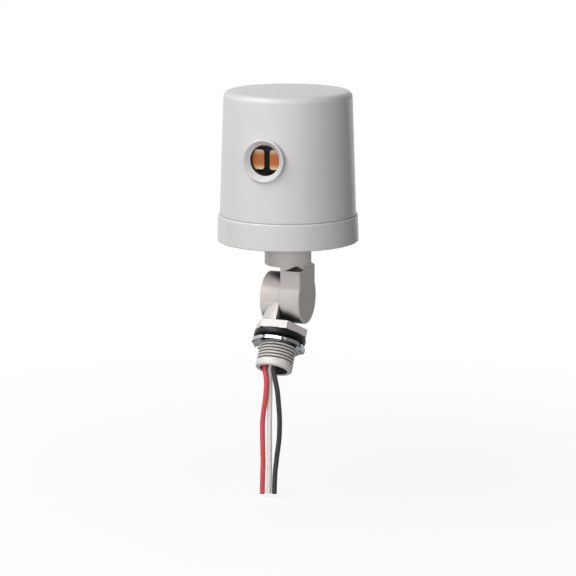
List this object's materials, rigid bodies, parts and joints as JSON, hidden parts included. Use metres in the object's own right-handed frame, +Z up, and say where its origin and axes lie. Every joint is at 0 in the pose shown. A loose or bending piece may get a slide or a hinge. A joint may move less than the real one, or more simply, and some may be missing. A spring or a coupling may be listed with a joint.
{
  "type": "photocell switch",
  "caption": "Grey photocell light switch: tapered round housing with a clear eye, on a swivel knuckle with a hollow threaded conduit stem, rubber gasket, locknut and cut leads.",
  "frame": {"origin": "on the stem's axis, half way along its free thread below the locknut", "axes": "+Z up along the housing's axis, -Y the way the eye looks, X along the swivel's pivot; the stem points down and 32 degrees to the front"},
  "size_m": [0.08, 0.08, 0.2286],
  "materials": {
    "housing": "moulded, light grey, matt",
    "lens": "clear moulded plastic",
    "black_plastic": "moulded black",
    "cell": "dark coated ceramic",
    "film": "amber sensing layer",
    "casting": "die cast, painted grey, satin",
    "seal_rubber": "black, satin",
    "plated_steel": "bright zinc plate",
    "fibre": "pressed fibre",
    "laminate": "brown laminate",
    "brass": "stamped strip",
    "bimetal": "rolled strip",
    "silver": "silver contact",
    "copper": "tinned copper wire",
    "heater": "coated ceramic resistor",
    "arrester": "blue epoxy coat",
    "lead_red": "insulation",
    "lead_white": "insulation",
    "lead_black": "insulation"
  },
  "bodies": {
    "stem": {"lower_swivel": "casting", "swivel_washer": "fibre", "stem_gasket": "seal_rubber", "locknut": "plated_steel", "stem_lead_red": "lead_red", "stem_lead_white": "lead_white", "stem_lead_black": "lead_black", "lead_red": "lead_red", "lead_white": "lead_white", "lead_black": "lead_black"},
    "head": {"cover": "housing", "base": "housing", "cover_seal": "seal_rubber", "eye_lens": "lens", "cell_holder": "black_plastic", "photocell": "cell", "photocell_film": "film", "cell_leads": "copper", "board": "laminate", "board_screws": "plated_steel", "terminals": "brass", "blade_post": "brass", "contact_post": "brass", "fixed_contact": "silver", "heater": "heater", "surge_arrester": "arrester", "upper_swivel": "casting", "collar_gasket": "seal_rubber", "base_locknut": "plated_steel", "pivot_screw": "plated_steel", "pivot_washer": "plated_steel", "inner_lead_red": "lead_red", "inner_lead_white": "lead_white", "inner_lead_black": "lead_black"},
    "contact_arm": {"bimetal_blade": "bimetal", "moving_contact": "silver"}
  },
  "joints": [
    {"name": "swivel", "type": "hinge", "parent": "stem", "child": "head", "pos_m": [0, 0.01987, 0.0318], "axis": [1, 0, 0], "range_deg": [-122, 58]},
    {"name": "contact_arm", "type": "hinge", "parent": "head", "child": "contact_arm", "pos_m": [-0.017, 0.02887, 0.1147], "axis": [0, -1, 0], "range_deg": [0, 5], "stiffness_Nm_per_rad": 0.1, "springref_deg": -2.86}
  ]
}
